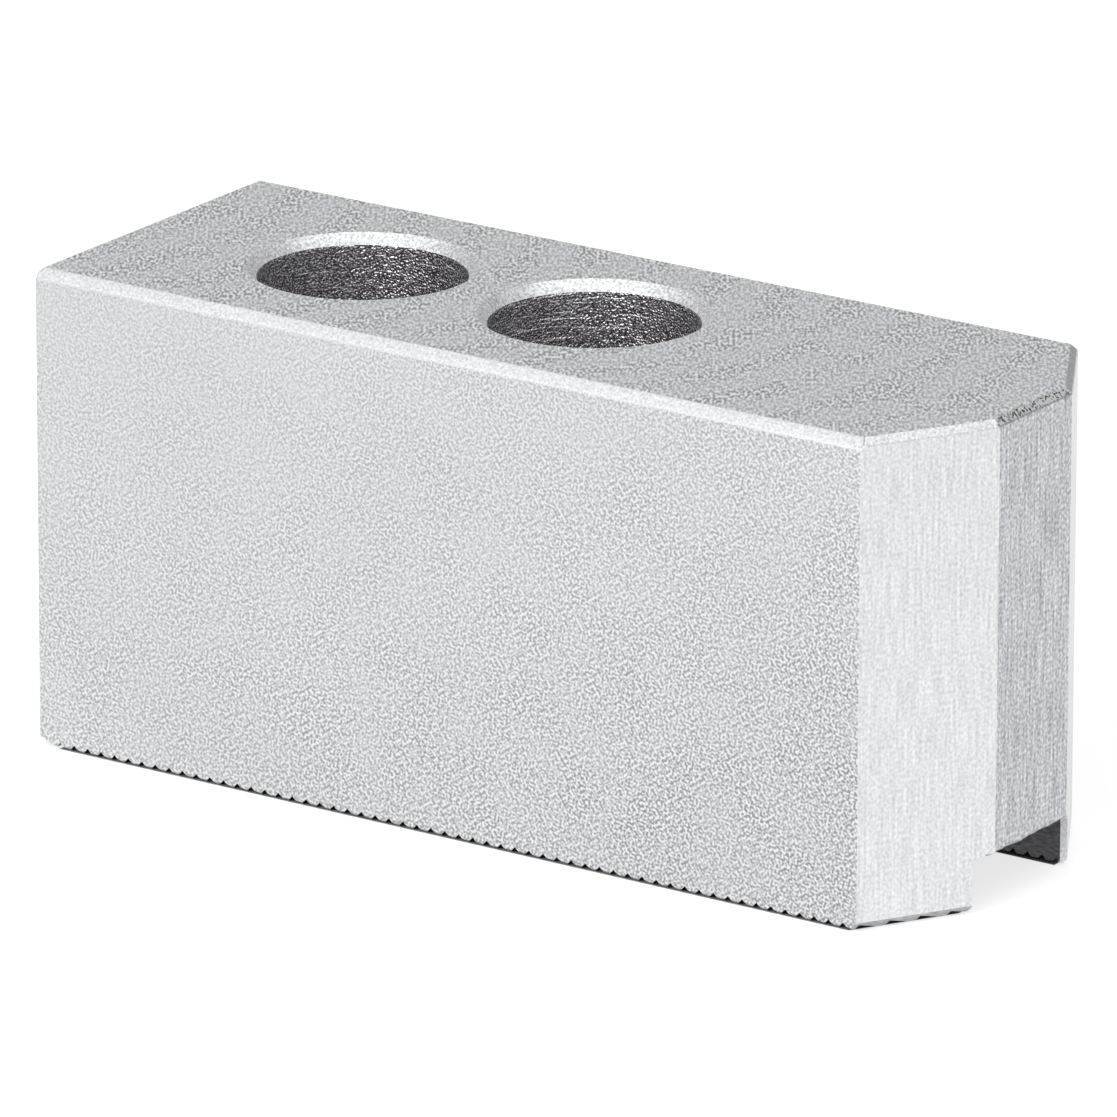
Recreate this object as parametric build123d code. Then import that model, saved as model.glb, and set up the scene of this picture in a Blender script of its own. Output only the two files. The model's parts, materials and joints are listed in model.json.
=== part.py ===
from build123d import *
from math import radians, tan
import os

# A soft top jaw for a power chuck: one block of case-hardening steel, ready to be turned to a workpiece
# X runs from the back of the jaw to its nose, Y across it and Z up, all in millimetres
# The origin is on the serration's crests, under the middle of the block

# The block
length = 100.0
width = 36.5
height = 47.3

# The nose is cut back on both sides, so that three jaws close on a small diameter
nose_flat_width = 12.4
nose_cut_length = 7.1

# Bevels and edge breaks
top_bevel = 1.0
nose_bevel = 0.7
back_bevel = 0.5
end_bevel_length = 2.2
end_bevel_height = 0.85
side_edge_break = 0.33
nose_cut_edge_break = 0.7

# The slot for the key of the master jaw, cut along the underside
slot_width = 16.0
slot_depth = 5.45
slot_corner_radius = 0.8
slot_edge_break = 0.2
slot_ceiling_break = 0.4
mouth_break_length = 0.8
mouth_break_width = 0.1

# The serration on the two rails beside the slot, 1/16 inch by 90 degrees
groove_pitch = 25.4 / 16
groove_angle = 90.0
crest_flat = 0.27
first_groove_from_back = 0.9

# Two counterbored holes for M12 cap screws, in line along the jaw
hole_count = 2
first_hole_from_back = 24.8
hole_spacing = 26.4
clearance_hole_diameter = 13.5
clearance_hole_break = 0.5
counterbore_diameter = 20.0
counterbore_countersink = 1.0
seat_thickness = 16.5

# How far a cutter stands past the face that it cuts
overrun = 5.0

back_x = -length / 2
nose_x = length / 2
half_width = width / 2
half_nose = nose_flat_width / 2
half_slot = slot_width / 2
seat_height = slot_depth + seat_thickness
groove_slope = tan(radians(groove_angle / 2))
groove_depth = (groove_pitch - crest_flat) / 2 / groove_slope
groove_count = int((length - first_groove_from_back) / groove_pitch) + 1


def nose_cut_x(y):
    """Where the slanted face at the nose stands, at this distance from the middle."""
    return nose_x - nose_cut_length * (y - half_nose) / (half_width - half_nose)


def prism_across(*corners):
    """A prism that runs right across the block in Y, from its corners in X and Z."""
    outline = make_face(Polyline(*[(x, 0, z) for x, z in corners], close=True))
    return extrude(outline, amount=half_width + overrun, dir=(0, 1, 0), both=True)


def prism_along(*corners):
    """A prism that runs right along the block in X, from its corners in Y and Z."""
    outline = make_face(Polyline(*[(0, y, z) for y, z in corners], close=True))
    return extrude(outline, amount=length / 2 + overrun, dir=(1, 0, 0), both=True)


def block():
    """The sawn and ground block with its pointed nose and its bevelled edges."""
    plan = Polyline(
        (back_x, -half_width),
        (nose_cut_x(half_width), -half_width),
        (nose_x, -half_nose),
        (nose_x, half_nose),
        (nose_cut_x(half_width), half_width),
        (back_x, half_width),
        close=True,
    )
    body = extrude(make_face(plan), amount=height)
    long_edges = body.edges().group_by(Axis.Z)[-1].filter_by(Axis.X)
    body = chamfer(long_edges, top_bevel)
    nose_edges = body.edges().group_by(Axis.Z)[-1].sort_by(Axis.X)[-3:]
    body = chamfer(nose_edges, nose_bevel)

    sides = body.edges().group_by(Axis.Z)[0].filter_by(Axis.X)
    body = chamfer(sides, side_edge_break)

    underside = body.edges().group_by(Axis.Z)[0]
    slanted = [edge for edge in underside if abs(edge.tangent_at(0).X * edge.tangent_at(0).Y) > 0.1]
    body = chamfer(slanted, nose_cut_edge_break)

    return body - prism_across(
        (back_x - overrun, height - back_bevel - overrun),
        (back_x + back_bevel + overrun, height + overrun),
        (back_x - overrun, height + overrun),
    )


def end_bevels():
    """The long shallow bevels across the underside, at the back and at the nose."""
    cutters = []
    for end, inward in ((back_x, 1), (nose_x, -1)):
        start = end + inward * end_bevel_length
        rise_per_mm = end_bevel_height / end_bevel_length
        outside = end - inward * overrun
        cutters.append(prism_across(
            (start, 0),
            (outside, rise_per_mm * (end_bevel_length + overrun)),
            (outside, -overrun),
            (start, -overrun),
        ))
    return cutters


def slot_outline(x, half):
    """The slot's outline at this place along the jaw, with its rounded upper corners."""
    across = Plane(origin=(x, 0, 0), x_dir=(0, 1, 0), z_dir=(1, 0, 0))
    outline = across * Pos(0, (slot_depth - overrun) / 2) * Rectangle(2 * half, slot_depth + overrun)
    return fillet(outline.vertices().group_by(Axis.Z)[-1], slot_corner_radius)


def key_slot():
    """The slot with its rounded inner corners, broken lower edges and opened mouth."""
    slot = extrude(slot_outline(0, half_slot), amount=length / 2 + overrun, both=True)

    lower_edges = prism_along(
        (-half_slot - slot_edge_break, 0),
        (-half_slot, slot_edge_break),
        (half_slot, slot_edge_break),
        (half_slot + slot_edge_break, 0),
        (half_slot + slot_edge_break, -overrun),
        (-half_slot - slot_edge_break, -overrun),
    )

    mouth_start = nose_cut_x(half_slot) - mouth_break_length
    mouth_end = nose_cut_x(half_slot + mouth_break_width)
    spread = mouth_break_width / (mouth_end - mouth_start)
    outside = nose_x + overrun
    half_outside = half_slot + spread * (outside - mouth_start)
    mouth = loft([slot_outline(mouth_start, half_slot), slot_outline(outside, half_outside)], ruled=True)

    ceiling_edge = prism_across(
        (nose_x - slot_ceiling_break, slot_depth),
        (nose_x, slot_depth + slot_ceiling_break),
        (nose_x + overrun, slot_depth + slot_ceiling_break),
        (nose_x + overrun, slot_depth),
    )
    return [slot, lower_edges, mouth, ceiling_edge]


def serration():
    """One V groove across both rails for each pitch."""
    half_opening = groove_slope * (groove_depth + overrun)
    groove = prism_across((0, groove_depth), (half_opening, -overrun), (-half_opening, -overrun))
    first = back_x + first_groove_from_back
    return [Pos(first + k * groove_pitch, 0, 0) * groove for k in range(groove_count)]


def screw_holes():
    """Each hole, from its countersunk mouth down to the slot's ceiling."""
    clearance = Cylinder(
        clearance_hole_diameter / 2, height, align=(Align.CENTER, Align.CENTER, Align.MIN)
    )
    break_radius = clearance_hole_diameter / 2 + clearance_hole_break
    lower_break = Pos(0, 0, slot_depth) * Cone(
        break_radius, clearance_hole_diameter / 2, clearance_hole_break,
        align=(Align.CENTER, Align.CENTER, Align.MIN),
    )
    counterbore = Pos(0, 0, seat_height) * Cylinder(
        counterbore_diameter / 2, height, align=(Align.CENTER, Align.CENTER, Align.MIN)
    )
    mouth_radius = counterbore_diameter / 2 + counterbore_countersink
    countersink = Pos(0, 0, height) * Cone(
        counterbore_diameter / 2, mouth_radius, counterbore_countersink,
        align=(Align.CENTER, Align.CENTER, Align.MAX),
    )
    hole = clearance + lower_break + counterbore + countersink
    first = back_x + first_hole_from_back
    return [Pos(first + k * hole_spacing, 0, 0) * hole for k in range(hole_count)]


jaw = block() - end_bevels() - key_slot() - serration() - screw_holes()

os.makedirs("parts", exist_ok=True)
export_step(jaw, "parts/soft_jaw.step")
print("grooves", groove_count, "depth", round(groove_depth, 4), "seat height", seat_height)
print("volume", round(jaw.volume, 1), "box", jaw.bounding_box())
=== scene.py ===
# %% [markdown]
# # A soft top jaw, as it leaves the grinder
#
# A soft jaw is one block of low-carbon steel. It is sawn, milled and ground, and a turner bores it to fit
# the work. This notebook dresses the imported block. It loads the frame, mixes one finish for each way the
# steel was cut, models the block again with those finishes and its small edges, and sets it on a pale table
# in soft light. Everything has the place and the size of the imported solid, so the frame comes first.

# %% Load the frame
import json
import math
import random

import bmesh
import bpy
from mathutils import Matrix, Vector


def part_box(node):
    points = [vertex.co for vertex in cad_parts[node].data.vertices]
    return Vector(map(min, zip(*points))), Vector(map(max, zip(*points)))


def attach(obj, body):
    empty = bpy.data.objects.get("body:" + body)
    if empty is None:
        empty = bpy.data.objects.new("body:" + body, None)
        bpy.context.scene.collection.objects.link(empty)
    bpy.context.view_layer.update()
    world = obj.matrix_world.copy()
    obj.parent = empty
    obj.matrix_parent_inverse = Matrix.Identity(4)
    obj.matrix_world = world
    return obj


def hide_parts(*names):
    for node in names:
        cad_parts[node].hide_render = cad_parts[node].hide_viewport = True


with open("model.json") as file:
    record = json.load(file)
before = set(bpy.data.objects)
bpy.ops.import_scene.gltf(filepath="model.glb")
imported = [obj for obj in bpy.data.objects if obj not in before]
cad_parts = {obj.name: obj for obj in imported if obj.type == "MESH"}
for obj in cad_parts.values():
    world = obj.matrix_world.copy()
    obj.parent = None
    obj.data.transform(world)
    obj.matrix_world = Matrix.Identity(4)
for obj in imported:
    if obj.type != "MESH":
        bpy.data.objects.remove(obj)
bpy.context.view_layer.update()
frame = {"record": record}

# %% [markdown]
# ## Sizes
#
# The block's own size comes from the frame, and so do the holes and the slot, which the record states as
# mounts. The bevels, the nose and the serration aren't mounts, so they are named here once more, in
# millimetres, as a drawing gives them. Blender works in metres, so every length passes through `mm`.

# %% Sizes of the block
def mm(length):
    """Millimetres to metres."""
    return length / 1000


low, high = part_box("soft_jaw")
middle = (low + high) / 2
mounts = {mount["name"]: mount for mount in frame["record"]["mounts"]}

nose_flat = mm(12.4)
nose_cut = mm(7.1)
top_bevel = mm(1.0)
nose_bevel = mm(0.7)
back_bevel = mm(0.5)
side_break = mm(0.33)
nose_cut_break = mm(0.7)
end_bevel_length = mm(2.2)
end_bevel_height = mm(0.85)
overrun = mm(2)
print("block, mm:", [round(side * 1000, 2) for side in high - low])

# %% [markdown]
# ## Colours and nodes
#
# A colour is written as it looks on a screen, and a shader wants it linear, so one function turns the one
# into the other. A second function adds a node with its settings and its links. `cells` gives the scale of
# a noise whose cells have a real size: Object coordinates are in metres, so 0.3 mm cells need a scale of
# 3333. Every finish here is bare steel that a pattern colours, so `bare_steel` and `graded` do what they
# have in common.

# %% Colour and node helpers
def screen_colour(code):
    """A colour such as "d8d9da", as linear numbers."""
    shares = [int(code[place:place + 2], 16) / 255 for place in (0, 2, 4)]
    linear = [share / 12.92 if share <= 0.04045 else ((share + 0.055) / 1.055) ** 2.4 for share in shares]
    return (*linear, 1.0)


def cells(size_mm):
    """The scale of a pattern with cells of this size in millimetres."""
    return 1000 / size_mm


def add(tree, kind, inputs, output=0, **settings):
    """Adds a node and returns one of its outputs. An input takes a value or another node's output."""
    node = tree.nodes.new(kind)
    for name, value in settings.items():
        setattr(node, name, value)
    for name, value in inputs.items():
        if isinstance(value, bpy.types.NodeSocket):
            tree.links.new(value, node.inputs[name])
        else:
            node.inputs[name].default_value = value
    return node.outputs[output]


def bare_steel(name, roughness):
    """A new finish: its material, node tree and shader, and the place on the piece that patterns follow."""
    finish = bpy.data.materials.new(name)
    finish.use_nodes = True
    tree = finish.node_tree
    shader = tree.nodes["Principled BSDF"]
    shader.inputs["Metallic"].default_value = 1.0
    shader.inputs["Roughness"].default_value = roughness
    return finish, tree, shader, add(tree, "ShaderNodeTexCoord", {}, "Object")


def graded(tree, pattern, start, end, dark, light):
    """A colour that goes from dark to light while the pattern goes from its start to its end."""
    share = add(tree, "ShaderNodeMapRange", {"Value": pattern, "From Min": start, "From Max": end})
    ends = {0: share, 6: screen_colour(dark), 7: screen_colour(light)}
    return add(tree, "ShaderNodeMix", ends, 2, data_type="RGBA")


print("mid grey is", round(screen_colour("808080")[0], 3), "and 0.3 mm cells need", round(cells(0.3)))

# %% [markdown]
# ## Ground sides
#
# The two wide sides are ground steel. Up close the wheel leaves a frosted, peppery grain a quarter of a
# millimetre wide, light where a tip shines and darker in the pits. It is rougher in some places than in
# others, and roughest near the foot of the nose. Its colour also carries painted shade, darker towards the
# bottom and the nose end. A brushed metal would be streaky, and one noise alone would look the same all
# over. So a fine noise gives the grain, a wide one and the place on the block say how strongly it shows,
# and a third clouds the face. A face that cuts through a solid noise gets blotches, so the fine noise is a
# flat one. A Mapping node lays it on the face, and turns it a little, so that its rows don't run along the
# edges.

# %% The finish of the ground sides
grain_turn = math.radians(34)
grain_depth = mm(0.02)
patch_size = 4
cloud_size = 26
towards_foot = (0.55, 0.0, -1.2)


def ground_sides():
    """Surface-ground low-carbon steel: pale, frosted and peppery."""
    finish, tree, shader, place = bare_steel("ground_steel_sides", roughness=0.5)
    laid_flat = add(tree, "ShaderNodeMapping", {"Vector": place, "Rotation": (math.pi / 2, 0.0, grain_turn)})
    grain = add(tree, "ShaderNodeTexNoise", {"Vector": laid_flat, "Scale": cells(0.27), "Detail": 0.0},
                noise_dimensions="2D")
    mottled = graded(tree, grain, 0.27, 0.73, "838489", "ffffff")
    patches = add(tree, "ShaderNodeTexNoise", {"Vector": place, "Scale": cells(patch_size), "Detail": 3.0})
    uneven = add(tree, "ShaderNodeMapRange", {"Value": patches, "From Min": 0.35, "From Max": 0.65,
                                              "To Min": 0.62, "To Max": 0.88})
    to_the_foot = add(tree, "ShaderNodeVectorMath", {0: place, 1: towards_foot}, "Value",
                      operation="DOT_PRODUCT")
    rougher = add(tree, "ShaderNodeMapRange", {"Value": to_the_foot, "From Min": mm(-80), "From Max": 0.0,
                                               "To Min": 0.35, "To Max": 0.9})
    strength = add(tree, "ShaderNodeMath", {0: uneven, 1: rougher}, operation="MULTIPLY")
    peppered = add(tree, "ShaderNodeMix", {0: strength, 6: screen_colour("e0e1e4"), 7: mottled},
                   2, data_type="RGBA")
    clouds = add(tree, "ShaderNodeTexNoise", {"Vector": place, "Scale": cells(cloud_size), "Detail": 3.0})
    cloudy = add(tree, "ShaderNodeMapRange", {"Value": clouds, "From Min": 0.3, "From Max": 0.7,
                                              "To Min": 0.96, "To Max": 1.0})
    # Painted shade: the colour darkens towards the bottom and the nose end.
    painted_shade_low = add(tree, "ShaderNodeMapRange", {"Value": to_the_foot, "From Min": mm(-28), "From Max": mm(10),
                                              "To Min": 1.0, "To Max": 0.92})
    shade = add(tree, "ShaderNodeMath", {0: cloudy, 1: painted_shade_low}, operation="MULTIPLY")
    colour = add(tree, "ShaderNodeVectorMath", {0: peppered, 1: shade}, operation="MULTIPLY")
    tree.links.new(colour, shader.inputs["Base Color"])
    relief = add(tree, "ShaderNodeBump", {"Height": grain, "Strength": 0.4, "Distance": grain_depth})
    tree.links.new(relief, shader.inputs["Normal"])
    return finish


sides_finish = ground_sides()
print("mixed", sides_finish.name, "with", len(sides_finish.node_tree.nodes), "nodes")

# %% [markdown]
# ## Milled and ground top
#
# The top was faced with a wide cutter before it was ground, and the wheel left a trace of the cutter's
# sweeps: faint arcs 7 mm apart, where the pepper sits thicker. A Wave texture would draw its rings round a
# point of its own, so here each arc is a line across the jaw, bowed by the square of the distance from the
# middle, and a sine of that makes light and dark of it. The wheel crossed the jaw at a slant, so the grain
# of the top is drawn out that way: a Mapping node of the Texture kind turns first and stretches afterwards.

# %% The finish of the top
sweep_pitch = mm(7)
sweep_radius = mm(30)
sweep_strength = 0.12
drawing_out = 2.8


def faced_top():
    """Faced and ground steel: thicker pepper along the cutter's sweeps."""
    finish, tree, shader, place = bare_steel("ground_steel_top", roughness=0.74)
    drawn_out = add(tree, "ShaderNodeMapping", {"Vector": place, "Rotation": (0.0, 0.0, grain_turn),
                                                "Scale": (1.0, drawing_out, 1.0)}, vector_type="TEXTURE")
    grain = add(tree, "ShaderNodeTexNoise", {"Vector": drawn_out, "Scale": cells(0.265), "Detail": 0.0},
                noise_dimensions="2D")
    mottled = graded(tree, grain, 0.27, 0.73, "8b8c8f", "f3f3f4")
    patches = add(tree, "ShaderNodeTexNoise", {"Vector": place, "Scale": cells(patch_size), "Detail": 3.0})
    parts = add(tree, "ShaderNodeSeparateXYZ", {"Vector": place}).node.outputs
    across = add(tree, "ShaderNodeMath", {0: parts["Y"], 1: 2.0}, operation="POWER")
    bow = add(tree, "ShaderNodeMath", {0: across, 1: 2 * sweep_radius}, operation="DIVIDE")
    along = add(tree, "ShaderNodeMath", {0: parts["X"], 1: bow}, operation="ADD")
    turns = add(tree, "ShaderNodeMath", {0: along, 1: math.tau / sweep_pitch}, operation="MULTIPLY")
    sweeps = add(tree, "ShaderNodeMath", {0: turns}, operation="SINE")
    swept = add(tree, "ShaderNodeMath", {0: sweeps, 1: sweep_strength, 2: patches}, operation="MULTIPLY_ADD")
    strength = add(tree, "ShaderNodeMapRange", {"Value": swept, "From Min": 0.4, "From Max": 0.65,
                                                "To Min": 0.42, "To Max": 0.78})
    peppered = add(tree, "ShaderNodeMix", {0: strength, 6: screen_colour("d7d8dc"), 7: mottled},
                   2, data_type="RGBA")
    tree.links.new(peppered, shader.inputs["Base Color"])
    relief = add(tree, "ShaderNodeBump", {"Height": grain, "Strength": 0.4, "Distance": grain_depth})
    tree.links.new(relief, shader.inputs["Normal"])
    return finish


top_finish = faced_top()
print("mixed", top_finish.name, "with sweeps every", round(sweep_pitch * 1000), "mm")

# %% [markdown]
# ## Milled nose
#
# The nose and its two slanted faces were cut with the side of a milling cutter, which travelled down the
# block. Its teeth leave upright streaks about 0.3 mm apart that run on for several millimetres. The same
# flat noise does this once the height is squeezed before it: the cells become tall and narrow. A second
# one, hardly squeezed, breaks the streaks up. A Mapping node scales first and turns afterwards, and here
# the turn lays Y and Z on the noise's two axes. The slants were cut last, with a sharp cutter, so they are
# paler and smoother than the nose, and one function mixes both. The back face is milled as the nose is.

# %% The finishes of the nose
streak_squeeze = 0.05
grain_height = 0.34


def milled_nose(name, width, dark, light):
    """Side-milled steel: upright streaks of this width in millimetres, broken up by a little grain."""
    finish, tree, shader, place = bare_steel(name, roughness=0.45)
    laid_flat = (math.pi / 2, math.pi / 2, 0.0)
    tall = add(tree, "ShaderNodeMapping", {"Vector": place, "Rotation": laid_flat,
                                           "Scale": (1.0, 1.0, streak_squeeze)})
    streaks = add(tree, "ShaderNodeTexNoise", {"Vector": tall, "Scale": cells(width), "Detail": 0.0},
                  noise_dimensions="2D")
    short = add(tree, "ShaderNodeMapping", {"Vector": place, "Rotation": laid_flat,
                                            "Scale": (1.0, 1.0, width / grain_height)})
    grain = add(tree, "ShaderNodeTexNoise", {"Vector": short, "Scale": cells(width), "Detail": 0.0},
                noise_dimensions="2D")
    both = add(tree, "ShaderNodeMix", {0: 0.6, 2: streaks, 3: grain})
    tree.links.new(graded(tree, both, 0.12, 0.88, dark, light), shader.inputs["Base Color"])
    relief = add(tree, "ShaderNodeBump", {"Height": both, "Strength": 0.35, "Distance": grain_depth})
    tree.links.new(relief, shader.inputs["Normal"])
    return finish


nose_finish = milled_nose("milled_steel_nose", 0.32, "8a8b8e", "f3f3f8")
slant_finish = milled_nose("milled_steel_slants", 0.25, "cfd0d4", "ffffff")
print("mixed", nose_finish.name, "and", slant_finish.name)

# %% [markdown]
# ## Bevels and countersinks
#
# The bevels are cut last, with a sharp tool and a light hand, so they are the smoothest and brightest steel
# on the jaw. They need little more than a fine grain. The countersinks chattered, so they are peppered and
# a little rough. The bevels of the slanted faces face the light more squarely, so their colour is a painted
# shade darker than the other bevels, and the edge under them is rubbed dull, so that it doesn't mirror the
# dark of the room in a thin line. Only the short bevel over the nose is torn: the cutter left black pits and
# bright crumbs there, and the same grain, graded harder, gives them.

# %% The finishes of the bevels
def bevels(name, dark, light, start=0.25, end=0.75, depth=mm(0.01), roughness=0.38):
    """Bevelled steel. The grain goes from dark to light between start and end, and is so deep."""
    finish, tree, shader, place = bare_steel(name, roughness)
    grain = add(tree, "ShaderNodeTexNoise", {"Vector": place, "Scale": cells(0.26), "Detail": 1.0})
    tree.links.new(graded(tree, grain, start, end, dark, light), shader.inputs["Base Color"])
    relief = add(tree, "ShaderNodeBump", {"Height": grain, "Strength": 0.5, "Distance": depth})
    tree.links.new(relief, shader.inputs["Normal"])
    return finish


bevel_finish = bevels("bright_steel_bevels", "cfd0d2", "fafafb")
sink_finish = bevels("peppered_steel_countersinks", "c0c1c3", "ffffff", 0.3, 0.7, mm(0.04), roughness=0.58)
# Painted shade: the slanted faces' bevels are coloured darker than the other bevels.
slant_bevel_painted_shade_finish = bevels("steel_slant_bevels", "a8a9ab", "d8d9da")
torn_finish = bevels("torn_steel_nose_bevel", "4b4b4d", "ffffff", 0.35, 0.51, mm(0.14))
rubbed_finish = bevels("rubbed_steel_slant_edges", "d8d9db", "ffffff", roughness=0.7)
print("mixed", bevel_finish.name + ",", sink_finish.name + ",", slant_bevel_painted_shade_finish.name + ",",
      torn_finish.name, "and", rubbed_finish.name)

# %% [markdown]
# ## Bored holes
#
# A counterbore is cut quickly and never ground. Its wall is torn rather than sliced, so it drinks the
# light: dark grey, with bright chips of torn steel that glint towards the light. In the hole by the nose,
# a little under the rim, a few of the cutter's rings carry a painted highlight. Rings are the streaks of
# the nose laid flat, so the noise is stretched round the hole and kept fine along its axis, and the painted
# highlight shows within a few millimetres of that place. The wall is round, so its noises stay solid ones.

# %% The finish of the holes
ring_highlight_place = Vector((mm(-8.2), mm(3.4), mm(43)))
ring_highlight_reach = mm(8)
ring_stretch = 0.07
chip_depth = mm(0.14)


def torn_bores():
    """Rough-bored steel: dark, with bright specks and thin rings, some with a painted highlight."""
    finish, tree, shader, place = bare_steel("bored_steel_holes", roughness=0.35)
    flat = add(tree, "ShaderNodeMapping", {"Vector": place, "Scale": (ring_stretch, ring_stretch, 1.0)})
    rings = add(tree, "ShaderNodeTexNoise", {"Vector": flat, "Scale": cells(0.25), "Detail": 1.0})
    # Painted highlight: the rings are brightened near one place in the hole by the nose.
    off_ring_highlight = add(tree, "ShaderNodeVectorMath", {0: place, 1: ring_highlight_place}, "Value", operation="DISTANCE")
    painted_ring_highlight = add(tree, "ShaderNodeMapRange", {"Value": off_ring_highlight, "From Min": ring_highlight_reach, "From Max": mm(2),
                                             "To Min": 0.0, "To Max": 0.1})
    rings_lifted_by_painted_highlight = add(tree, "ShaderNodeMath", {0: rings, 1: painted_ring_highlight}, operation="ADD")
    bright_rings_with_painted_highlight = add(tree, "ShaderNodeMapRange", {"Value": rings_lifted_by_painted_highlight, "From Min": 0.66, "From Max": 0.78})
    chips = add(tree, "ShaderNodeTexNoise", {"Vector": place, "Scale": cells(0.2), "Detail": 0.0})
    torn = add(tree, "ShaderNodeMapRange", {"Value": chips, "From Min": 0.44, "From Max": 0.69})
    bright = add(tree, "ShaderNodeMath", {0: bright_rings_with_painted_highlight, 1: torn}, operation="MAXIMUM")
    tree.links.new(graded(tree, bright, 0.0, 1.0, "908b90", "ffffff"), shader.inputs["Base Color"])
    height = add(tree, "ShaderNodeMath", {0: bright_rings_with_painted_highlight, 1: 0.3, 2: chips}, operation="MULTIPLY_ADD")
    relief = add(tree, "ShaderNodeBump", {"Height": height, "Strength": 1.0, "Distance": chip_depth})
    tree.links.new(relief, shader.inputs["Normal"])
    return finish


hole_finish = torn_bores()
print("mixed", hole_finish.name)

# %% [markdown]
# ## Key slot and serration
#
# The slot and the grooves are milled along their own length. They lie in the shade under the jaw, and
# their dark colour is painted shade. The slot's lines run along the jaw and the serration's across it, so
# one function makes both, and takes the squeeze that turns the grain into lines. The small breaks under
# the jaw were filed, and are paler.

# %% The finishes under the jaw
def lined_cut_steel(name, squeeze, dark, light):
    """Milled or filed steel with fine lines along the cut; dark in the slot and the grooves, as painted
    shade.
    """
    finish, tree, shader, place = bare_steel(name, roughness=0.5)
    along = add(tree, "ShaderNodeMapping", {"Vector": place, "Scale": squeeze})
    lines = add(tree, "ShaderNodeTexNoise", {"Vector": along, "Scale": cells(0.25), "Detail": 2.0})
    tree.links.new(graded(tree, lines, 0.3, 0.7, dark, light), shader.inputs["Base Color"])
    relief = add(tree, "ShaderNodeBump", {"Height": lines, "Strength": 0.5, "Distance": grain_depth})
    tree.links.new(relief, shader.inputs["Normal"])
    return finish


# Painted shade: the slot and the serration are coloured dark for the shade under the jaw; the foot's colour
# is its own.
slot_painted_shade_finish = lined_cut_steel("milled_steel_slot", (0.3, 1.0, 1.0), "49494c", "707073")
tooth_painted_shade_finish = lined_cut_steel("milled_steel_serration", (1.0, 0.08, 1.0), "262628", "545457")
foot_finish = lined_cut_steel("filed_steel_foot", (0.3, 0.3, 1.0), "a0a1a3", "c4c5c7")
print("mixed", slot_painted_shade_finish.name + ",", tooth_painted_shade_finish.name, "and", foot_finish.name)

# %% [markdown]
# ## Working on a mesh
#
# The block is modelled as it is made: a bar of steel, and then cut after cut. Small helpers do the work.
# `work_on` leaves one piece selected, because an operator acts on everything that is. `pick` selects
# corners or edges by their place. `saw` bisects the piece by a plane, throws the outer part away and closes
# the cut. `cut_away` takes a cutter out of the piece with a Boolean modifier, and `round_edges` lets a
# Bevel modifier take the sharpness off.

# %% Modelling helpers
def work_on(piece):
    """Leaves this piece active, and the only one selected."""
    bpy.ops.object.select_all(action="DESELECT")
    piece.select_set(True)
    bpy.context.view_layer.objects.active = piece


def pick(piece, kind, wanted):
    """In edit mode, selects the piece's verts or edges that are wanted, and nothing else."""
    bpy.ops.mesh.select_mode(type={"verts": "VERT", "edges": "EDGE"}[kind])
    bpy.ops.mesh.select_all(action="DESELECT")
    shape = bmesh.from_edit_mesh(piece.data)
    for part in getattr(shape, kind):
        part.select_set(wanted(part))
    shape.select_flush_mode()
    bmesh.update_edit_mesh(piece.data)


def saw(point, outward, discard=True):
    """In edit mode, cuts the piece by a plane. What lies outside goes, or stays when discard is off."""
    bpy.ops.mesh.select_all(action="SELECT")
    bpy.ops.mesh.bisect(
        plane_co=point, plane_no=outward, threshold=mm(0.0001), use_fill=discard, clear_outer=discard
    )


def cube(name, lowest, highest, finish):
    """A box between two corners, with one finish, ready to be cut."""
    bpy.ops.object.select_all(action="DESELECT")
    lowest, highest = Vector(lowest), Vector(highest)
    bpy.ops.mesh.primitive_cube_add(size=1, location=(lowest + highest) / 2, scale=highest - lowest)
    bpy.ops.object.transform_apply(location=True, rotation=True, scale=True)
    piece = bpy.context.object
    piece.name = name
    piece.data.materials.append(finish)
    return piece


def open_edges(piece):
    """How many edges don't have exactly two faces. A solid has none."""
    shape = bmesh.new()
    shape.from_mesh(piece.data)
    count = sum(not edge.is_manifold for edge in shape.edges)
    shape.free()
    return count


def cut_away(piece, cutter):
    """Takes the cutter's shape out of the piece. The cut faces get the cutter's finish."""
    work_on(piece)
    bpy.ops.object.modifier_add(type="BOOLEAN")
    cut = piece.modifiers[-1]
    cut.operation, cut.solver, cut.material_mode = "DIFFERENCE", "EXACT", "TRANSFER"
    cut.object = cutter
    bpy.ops.object.modifier_apply(modifier=cut.name)
    bpy.ops.object.mode_set(mode="EDIT")
    bpy.ops.mesh.select_all(action="SELECT")
    bpy.ops.mesh.remove_doubles(threshold=mm(0.002))
    bpy.ops.object.mode_set(mode="OBJECT")
    print("after the", cutter.name + ":", len(piece.data.polygons), "faces,", open_edges(piece), "open edges")
    bpy.data.objects.remove(cutter)


def round_edges(piece, width, segments, sharper_than):
    """Rounds every edge of the piece that turns by more than this many degrees."""
    work_on(piece)
    bpy.ops.object.modifier_add(type="BEVEL")
    rounding = piece.modifiers[-1]
    rounding.width, rounding.segments = width, segments
    rounding.limit_method, rounding.angle_limit = "ANGLE", math.radians(sharper_than)
    bpy.ops.object.modifier_apply(modifier=rounding.name)
    print("after rounding:", len(piece.data.polygons), "faces,", open_edges(piece), "open edges")


# %% [markdown]
# ## The block
#
# The block is a bar with its nose cut back on both sides and its edges broken. Every one of those cuts is
# flat and goes right through, so each is one stroke of the saw: a plane through a point on the edge, tilted
# by the bevel. A bevel operator would do the top as well, but not the long shallow bevels at the two ends,
# which aren't at 45 degrees. Last, every edge is rubbed round by a tenth and a half of a millimetre, so
# that no line on the block is hard. Each face then gets the finish of the way it was cut, and the direction
# that it looks in tells which.

# %% Saw the block
edge_rub = mm(0.15)


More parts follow.
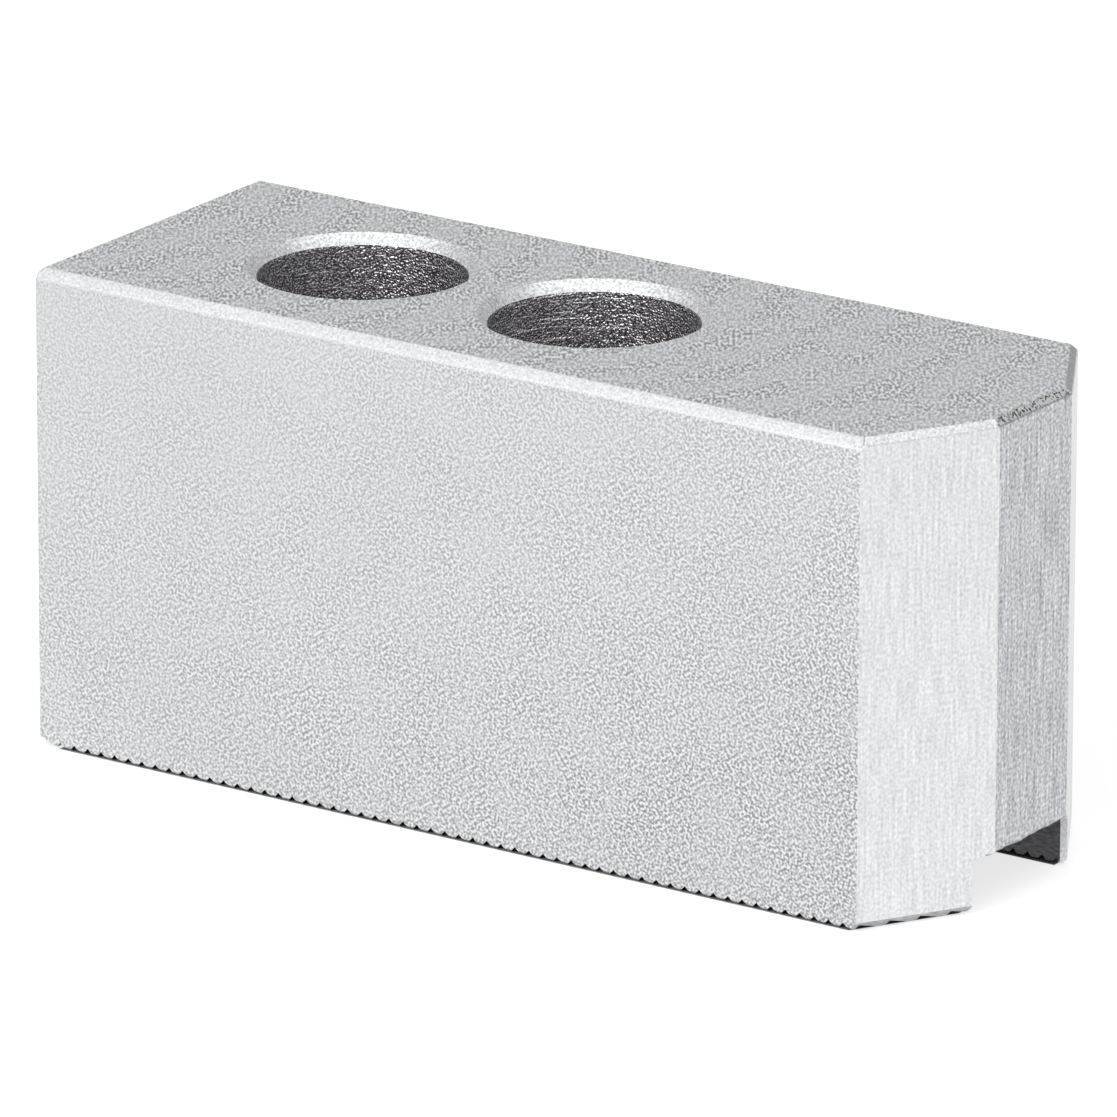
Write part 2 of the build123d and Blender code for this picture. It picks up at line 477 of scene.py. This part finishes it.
def sawn_block():
    """The bar with its pointed nose and its broken edges."""
    block = cube("jaw_block", low, high, sides_finish)
    bpy.ops.object.mode_set(mode="EDIT")
    slant = Vector((high.y - nose_flat / 2, nose_cut, 0)).normalized()
    slants = [(Vector((high.x, side * nose_flat / 2, 0)), Vector((slant.x, side * slant.y, 0)))
              for side in (1, -1)]
    sides = [(Vector((0, side * high.y, 0)), Vector((0, side, 0))) for side in (1, -1)]
    nose = (Vector((high.x, 0, 0)), Vector((1, 0, 0)))
    back = (Vector((low.x, 0, 0)), Vector((-1, 0, 0)))
    for point, outward in slants:
        saw(point, outward)
    up = Vector((0, 0, 1))
    for point, outward in sides:
        saw(point + up * (high.z - top_bevel), outward + up)
    for point, outward in [*slants, nose]:
        saw(point + up * (high.z - nose_bevel), outward + up)
    saw(back[0] + up * (high.z - back_bevel), back[1] + up)
    for point, outward in sides:
        saw(point + up * side_break, outward - up)
    for point, outward in slants:
        saw(point + up * nose_cut_break, outward - up)
    for point, outward in (nose, back):
        saw(point - outward * end_bevel_length, outward * end_bevel_height - up * end_bevel_length)
    bpy.ops.object.mode_set(mode="OBJECT")
    return block


def give_finishes(block):
    """Gives each face of the block the finish of the way it was cut, by the way it looks."""
    finishes = [sides_finish, top_finish, nose_finish, slant_finish, bevel_finish, slant_bevel_painted_shade_finish,
                torn_finish, rubbed_finish, tooth_painted_shade_finish, foot_finish]
    for finish in finishes[1:]:
        block.data.materials.append(finish)
    for face in block.data.polygons:
        outward = face.normal
        if outward.z > 0.9:
            worn = top_finish
        elif outward.z < -0.9:
            worn = tooth_painted_shade_finish
        elif outward.z < -0.1 and abs(outward.x) < 0.1:
            worn = sides_finish
        elif outward.z < -0.1:
            worn = foot_finish
        elif outward.z > 0.6 and outward.x > 0.1 and abs(outward.y) < 0.1:
            worn = torn_finish
        elif outward.z > 0.6 and outward.x > 0.1:
            worn = slant_bevel_painted_shade_finish
        elif outward.z > 0.05 and outward.x > 0.1 and abs(outward.y) > 0.1:
            worn = rubbed_finish
        elif outward.z > 0.1 and outward.x < 0.1:
            worn = bevel_finish
        elif abs(outward.y) > 0.9:
            worn = sides_finish
        elif abs(outward.y) > 0.1:
            worn = slant_finish
        else:
            worn = nose_finish
        face.material_index = finishes.index(worn)


jaw = sawn_block()
print("sawn block:", len(jaw.data.polygons), "faces,", open_edges(jaw), "open edges")
round_edges(jaw, edge_rub, segments=3, sharper_than=30)
give_finishes(jaw)

# %% [markdown]
# ## The key slot
#
# One cutter runs the whole length. Its upper edges are rounded with a bevel of several segments, and it is
# scribed twice. Beyond the upright line near the nose it widens a little, which opens the mouth, so that
# the key finds its way in. Below the line near the crests it flares out at 45 degrees, which breaks the
# slot's lower edges.

# %% Cut the key slot
slot_depth = mounts["key_slot"]["pos_m"][2]
slot_width = mm(16)
slot_corner = mm(0.8)
slot_break = mm(0.2)
mouth_length = mm(0.8)
mouth_break = mm(0.1)


def spread(cutter, wanted, distance):
    """Moves the corners that are wanted away from the middle plane of the jaw, on both sides of it."""
    for side in (1, -1):
        pick(cutter, "verts", lambda vert: wanted(vert.co) and vert.co.y * side > 0)
        bpy.ops.transform.translate(value=(0, side * distance, 0))


def slot_cutter():
    """A bar as wide as the slot: rounded above, flared below and widened at the nose."""
    half = slot_width / 2
    slope = nose_cut / (high.y - nose_flat / 2)
    mouth_start = high.x - slope * (half - nose_flat / 2) - mouth_length
    mouth_spread = mouth_break / (mouth_length - slope * mouth_break) * (high.x + overrun - mouth_start)
    cutter = cube("slot_cutter", (low.x - overrun, -half, -overrun),
                  (high.x + overrun, half, slot_depth), slot_painted_shade_finish)
    cutter.data.materials.append(bevel_finish)
    bpy.ops.object.mode_set(mode="EDIT")
    pick(cutter, "edges", lambda edge: all(vert.co.z > slot_depth / 2 for vert in edge.verts)
         and abs(edge.verts[0].co.x - edge.verts[1].co.x) > half)
    bpy.ops.mesh.bevel(offset=slot_corner, segments=8, affect="EDGES")
    saw((mouth_start, 0, 0), (1, 0, 0), discard=False)
    saw((0, 0, slot_break), (0, 0, 1), discard=False)
    spread(cutter, lambda place: place.x > high.x, mouth_spread)
    spread(cutter, lambda place: place.z < 0, slot_break + overrun)
    bpy.ops.object.mode_set(mode="OBJECT")
    for face in cutter.data.polygons:
        face.material_index = int(face.center.x > mouth_start)
    return cutter


cut_away(jaw, slot_cutter())

# %% [markdown]
# ## The screw holes
#
# A hole is turned, so its cutter is too: half an outline, from the axis and back to it, spun once round.
# The outline carries the feed marks as shallow rings, because a real groove catches the light better than
# bump does. Below, the outline flares at 45 degrees to break the hole's edge at the ceiling of the slot,
# and it ends before it would reach the slot's walls. The two holes are alike, so the cutter is modelled
# once and copied.

# %% Turn the cutter of the screw holes
feed = mm(0.6)
feed_depth = mm(0.02)
turn_steps = 128
hole_overrun = mm(1)


def wall_rings(radius, bottom, top):
    """Points up a bored wall, with a ring of its own depth for each turn of feed."""
    count = round((top - bottom) / feed)
    step = (top - bottom) / count
    points = [(radius, bottom)]
    for ring in range(count):
        points.append((radius - feed_depth * random.random(), bottom + (ring + 0.5) * step))
        points.append((radius, bottom + (ring + 1) * step))
    return points


def hole_outline():
    """Half the outline of a hole, as radius and height, from its lower break up to its countersink."""
    hole, counterbore = mounts["screw_hole_back"], mounts["counterbore_back"]
    small, wide = mm(hole["dims"]["r_mm"]), mm(counterbore["dims"]["r_mm"])
    hole_half, wide_half = mm(hole["dims"]["length_mm"] / 2), mm(counterbore["dims"]["length_mm"] / 2)
    hole_low = hole["pos_m"][2] - hole_half
    seat = hole["pos_m"][2] + hole_half
    wide_top = counterbore["pos_m"][2] + wide_half
    return [
        (0, hole_low - hole_overrun),
        (small + hole_overrun, hole_low - hole_overrun),
        *wall_rings(small, hole_low, seat),
        *wall_rings(wide, seat, wide_top),
        (wide + overrun, wide_top + overrun),
        (0, wide_top + overrun),
    ]


def turned_cutter(outline, axis_x):
    """The solid that the outline sweeps when it is spun round an upright axis."""
    bpy.ops.object.select_all(action="DESELECT")
    bpy.ops.mesh.primitive_plane_add(size=mm(1), location=(axis_x, 0, outline[0][1]))
    bpy.ops.object.transform_apply(location=True, rotation=True, scale=True)
    cutter = bpy.context.object
    cutter.name = "hole_cutter"
    cutter.data.materials.append(hole_finish)
    cutter.data.materials.append(sink_finish)
    bpy.ops.object.mode_set(mode="EDIT")
    bpy.ops.mesh.merge(type="CENTER")
    for (radius, height), (next_radius, next_height) in zip(outline, outline[1:]):
        step = (next_radius - radius, 0, next_height - height)
        bpy.ops.mesh.extrude_vertices_move(TRANSFORM_OT_translate={"value": step})
    bpy.ops.mesh.select_all(action="SELECT")
    bpy.ops.mesh.spin(steps=turn_steps, angle=math.tau, center=(axis_x, 0, 0), axis=(0, 0, 1))
    bpy.ops.mesh.select_all(action="SELECT")
    bpy.ops.mesh.remove_doubles(threshold=mm(0.001))
    bpy.ops.mesh.normals_make_consistent(inside=False)
    bpy.ops.object.mode_set(mode="OBJECT")
    for face in cutter.data.polygons:
        face.material_index = int(0.1 < abs(face.normal.z) < 0.9)
    return cutter


random.seed(12)
first_cutter = turned_cutter(hole_outline(), mounts["counterbore_back"]["pos_m"][0])
second_cutter = first_cutter.copy()
second_cutter.data = first_cutter.data.copy()
bpy.context.collection.objects.link(second_cutter)
work_on(second_cutter)
hole_spacing = mounts["counterbore_nose"]["pos_m"][0] - mounts["counterbore_back"]["pos_m"][0]
bpy.ops.transform.translate(value=(hole_spacing, 0, 0))
bpy.ops.object.transform_apply(location=True, rotation=True, scale=True)
cut_away(jaw, first_cutter)
cut_away(jaw, second_cutter)

# %% [markdown]
# ## Edges of the slot and the holes
#
# The edges that were cut after the block was ground are sharper, but no edge of steel is perfectly sharp:
# even these catch a thin line of light. The limit lets the block's own edges be, because no step of their
# rounding turns by so much. The torn edge and the serration come after this, because they stay as sharp as
# the tool leaves them.

# %% Round the edges
cut_edge_rub = mm(0.06)
round_edges(jaw, cut_edge_rub, segments=2, sharper_than=35)

# %% [markdown]
# ## The serration
#
# The two rails are cut across with V grooves, sixteen to the inch, so that the jaw can be set on its master
# jaw one tooth at a time. A groove of 90 degrees is what a square bar leaves when it stands on its edge, so
# one bar is turned by 45 degrees and an Array modifier repeats it.

# %% Cut the serration
groove_pitch = mm(25.4 / 16)
crest_flat = mm(0.27)
first_groove = mm(0.9)
groove_depth = (groove_pitch - crest_flat) / 2
bar_half = mm(0.75)


def groove_cutter():
    """A row of square bars on their edges, one for each groove."""
    bar_side = bar_half * math.sqrt(2)
    bpy.ops.object.select_all(action="DESELECT")
    bpy.ops.mesh.primitive_cube_add(
        size=1,
        location=(low.x + first_groove, 0, groove_depth - bar_half),
        rotation=(0, math.radians(45), 0),
        scale=(bar_side, high.y * 2 + overrun, bar_side),
    )
    bpy.ops.object.transform_apply(location=True, rotation=True, scale=True)
    cutter = bpy.context.object
    cutter.name = "groove_cutter"
    cutter.data.materials.append(tooth_painted_shade_finish)
    bpy.ops.object.modifier_add(type="ARRAY")
    row = cutter.modifiers[-1]
    row.use_relative_offset, row.use_constant_offset = False, True
    row.constant_offset_displace = (groove_pitch, 0, 0)
    row.count = int((high.x - low.x - first_groove) / groove_pitch) + 1
    bpy.ops.object.modifier_apply(modifier=row.name)
    return cutter


cut_away(jaw, groove_cutter())

# %% [markdown]
# ## The torn edge over the slot
#
# Where the slot comes out under the nose, its upper edge was knocked off with a file. The file leaves a
# ragged edge with small burrs. So the cutter of this bevel is divided across, and the corners of its upper
# face are shaken by up to a fifth of a millimetre before it is taken away.

# %% Cut the torn edge
ceiling_break = mm(0.4)
burr_count = 30
burr_size = mm(0.2)


def ceiling_cutter():
    """A wedge right across the slot's end, with a ragged upper face."""
    half = slot_width / 2
    cutter = cube("ceiling_cutter", (high.x - ceiling_break, -half, slot_depth - ceiling_break),
                  (high.x + overrun, half, slot_depth), foot_finish)
    bpy.ops.object.mode_set(mode="EDIT")
    pick(cutter, "edges", lambda edge: abs(edge.verts[0].co.y - edge.verts[1].co.y) > half)
    bpy.ops.mesh.subdivide(number_cuts=burr_count)
    just_below = slot_depth - mm(0.01)
    pick(cutter, "verts", lambda vert: vert.co.x > high.x and vert.co.z > just_below)
    bpy.ops.transform.translate(value=(0, 0, ceiling_break + overrun))
    saw((high.x + burr_size, 0, 0), (1, 0, 0), discard=False)
    pick(cutter, "verts", lambda vert: vert.co.x < high.x + 2 * burr_size and vert.co.z > just_below)
    bpy.ops.transform.vertex_random(offset=burr_size, seed=5)
    bpy.ops.object.mode_set(mode="OBJECT")
    return cutter


cut_away(jaw, ceiling_cutter())

# %% [markdown]
# ## Smooth and flat faces
#
# The holes and the slot's corners are round, and everything else is flat. Shading by angle smooths across
# gentle edges only. Weighted normals then let each wide face keep its own direction right up to its edges.

# %% Shade the jaw
smooth_below = math.radians(12)
jaw.name = "soft_jaw_ground"
jaw.data.name = "soft_jaw_ground"
work_on(jaw)
bpy.ops.object.shade_smooth_by_angle(angle=smooth_below)
bpy.ops.object.modifier_add(type="WEIGHTED_NORMAL")
jaw.modifiers[-1].keep_sharp = True
bpy.ops.object.modifier_apply(modifier=jaw.modifiers[-1].name)
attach(jaw, "root")
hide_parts("soft_jaw")
print("jaw:", len(jaw.data.polygons), "faces,", len(jaw.data.materials), "finishes")

# %% [markdown]
# ## The table
#
# A photographer lays such a part on white paper. The paper here is a plain plane. To the lamps it is matt,
# so it keeps the shadow. To the camera, and to rays that the steel or glass sends on, it gives light of its
# own, so that paper which lies in full light looks white, and the shadow stays light. Under the crests of
# the two rails, and 0.4 mm past them, it gives none, so that the serration has the dark behind it that it
# has on real paper; past the rails that dark strip is a painted shadow. The jaw is the same on both sides,
# so the place on the paper is folded along the middle and one rail's outline serves both.

# %% Lay the table
table_size = 6.0
paper_glow = 0.76
shadow_edge = mm(0.2)
shadow_reach = mm(0.4)
rail_half = (high.y - side_break - slot_width / 2) / 2
slant_angle = math.atan2(nose_cut, high.y - nose_flat / 2)


def white_paper():
    """Matt white paper that looks white to the camera, and in the steel."""
    paper = bpy.data.materials.new("white_paper")
    paper.use_nodes = True
    tree = paper.node_tree
    shader = tree.nodes["Principled BSDF"]
    shader.inputs["Base Color"].default_value = screen_colour("989897")
    shader.inputs["Roughness"].default_value = 0.9
    shader.inputs["Emission Color"].default_value = (1.0, 1.0, 1.0, 1.0)
    ray = add(tree, "ShaderNodeLightPath", {}).node.outputs
    mirrored = add(tree, "ShaderNodeMath", {0: ray["Is Glossy Ray"], 1: ray["Is Transmission Ray"]},
                   operation="MAXIMUM")
    seen = add(tree, "ShaderNodeMath", {0: ray["Is Camera Ray"], 1: mirrored}, operation="MAXIMUM")
    place = add(tree, "ShaderNodeTexCoord", {}, "Object")
    mirrored_place = add(tree, "ShaderNodeVectorMath", {0: place, 1: (1, -1, 1)}, operation="MULTIPLY")
    folded = add(tree, "ShaderNodeVectorMath", {0: place, 1: mirrored_place}, operation="MAXIMUM")
    rail_middle = (0, high.y - side_break - rail_half, 0)
    from_rail = add(tree, "ShaderNodeVectorMath", {0: folded, 1: rail_middle}, operation="SUBTRACT")
    either_side = add(tree, "ShaderNodeVectorMath", {0: from_rail}, operation="ABSOLUTE")
    rail_end = (high.x - end_bevel_length, rail_half + shadow_reach, 0)
    beyond = add(tree, "ShaderNodeVectorMath", {0: either_side, 1: rail_end}, operation="SUBTRACT")
    parts = add(tree, "ShaderNodeSeparateXYZ", {"Vector": beyond}).node.outputs
    straight_gap = add(tree, "ShaderNodeMath", {0: parts["X"], 1: parts["Y"]}, operation="MAXIMUM")
    outward = (math.cos(slant_angle), math.sin(slant_angle), 0)
    corner = Vector((high.x, nose_flat / 2, 0)) - nose_cut_break * Vector(outward)
    from_nose = add(tree, "ShaderNodeVectorMath", {0: folded, 1: corner}, operation="SUBTRACT")
    slant_gap = add(tree, "ShaderNodeVectorMath", {0: from_nose, 1: outward}, "Value",
                    operation="DOT_PRODUCT")
    gap = add(tree, "ShaderNodeMath", {0: straight_gap, 1: slant_gap}, operation="MAXIMUM")
    # Painted shadow: the paper gives no light under the rails and 0.4 mm past them.
    outside_painted_shadow = add(tree, "ShaderNodeMapRange", {"Value": gap, "From Min": -shadow_edge, "From Max": 0.0})
    lit = add(tree, "ShaderNodeMath", {0: seen, 1: outside_painted_shadow}, operation="MULTIPLY")
    glow = add(tree, "ShaderNodeMath", {0: lit, 1: paper_glow}, operation="MULTIPLY")
    tree.links.new(glow, shader.inputs["Emission Strength"])
    return paper


bpy.ops.object.select_all(action="DESELECT")
bpy.ops.mesh.primitive_plane_add(size=table_size, location=(0, 0, low.z))
bpy.ops.object.transform_apply(location=True, rotation=True, scale=True)
table = bpy.context.object
table.name = "paper_table"
table.data.materials.append(white_paper())
print("table", table_size, "m wide at height", table.data.vertices[0].co.z)

# %% [markdown]
# ## Light
#
# Bare steel shows what stands round it, so the light is made of large soft boxes and a pale room. The
# strongest box hangs before the wide side, and brightens it, its bevel and the far rims of the
# countersinks. One hangs over the nose for the slanted face and the front bevels. Two weak ones at the
# left, before and behind the jaw, keep its ends and its back from going dull. The top sees the room behind
# the jaw and no box, which is why it looks darker.

# %% Hang the lamps
box_size = 0.7
room_strength = 0.58


def soft_box(name, place, watts):
    """A square lamp that faces the middle of the jaw."""
    lamp = bpy.data.lights.new(name, "AREA")
    lamp.shape, lamp.size, lamp.energy = "SQUARE", box_size, watts
    holder = bpy.data.objects.new(name, lamp)
    bpy.context.scene.collection.objects.link(holder)
    holder.location = place
    holder.rotation_euler = (middle - Vector(place)).to_track_quat("-Z", "Y").to_euler()


soft_box("front_box", (0, -0.84, 0.73), watts=6.4)
soft_box("left_box", (-0.6, -0.6, 0.73), watts=1.28)
soft_box("back_left_box", (-0.6, 0.6, 0.73), watts=0.86)
soft_box("right_box", (0.41, 0, 1.04), watts=3.2)

room = bpy.data.worlds.new("pale_room")
bpy.context.scene.world = room
room.use_nodes = True
room.node_tree.nodes["Background"].inputs["Color"].default_value = screen_colour("e6e7e8")
room.node_tree.nodes["Background"].inputs["Strength"].default_value = room_strength

# %% [markdown]
# ## Camera
#
# The camera stands to the right of the wide side and looks down a little. It was fitted to the corners of
# the block: a long lens from more than a metre away, which is why the long edges are nearly parallel.

# %% Set up the camera
camera_azimuth = math.radians(34.489)
camera_elevation = math.radians(18.148)
camera_roll = 0.002
camera_distance = 1.3296
camera_lens = 457.4
camera_aim = Vector((-0.002809, 0, 0.022518))

backward = Vector((
    math.sin(camera_azimuth) * math.cos(camera_elevation),
    -math.cos(camera_azimuth) * math.cos(camera_elevation),
    math.sin(camera_elevation),
))
lens = bpy.data.cameras.new("camera")
lens.lens, lens.sensor_width = camera_lens, 36
lens.clip_start, lens.clip_end = 0.1, 20
camera = bpy.data.objects.new("camera", lens)
bpy.context.scene.collection.objects.link(camera)
camera.location = camera_aim + backward * camera_distance
camera.rotation_euler = (-backward).to_track_quat("-Z", "Y").to_euler()
camera.rotation_euler.rotate_axis("Z", camera_roll)
bpy.context.scene.camera = camera
bpy.context.scene.view_settings.view_transform = "Standard"
print("camera at", [round(number, 4) for number in camera.location])
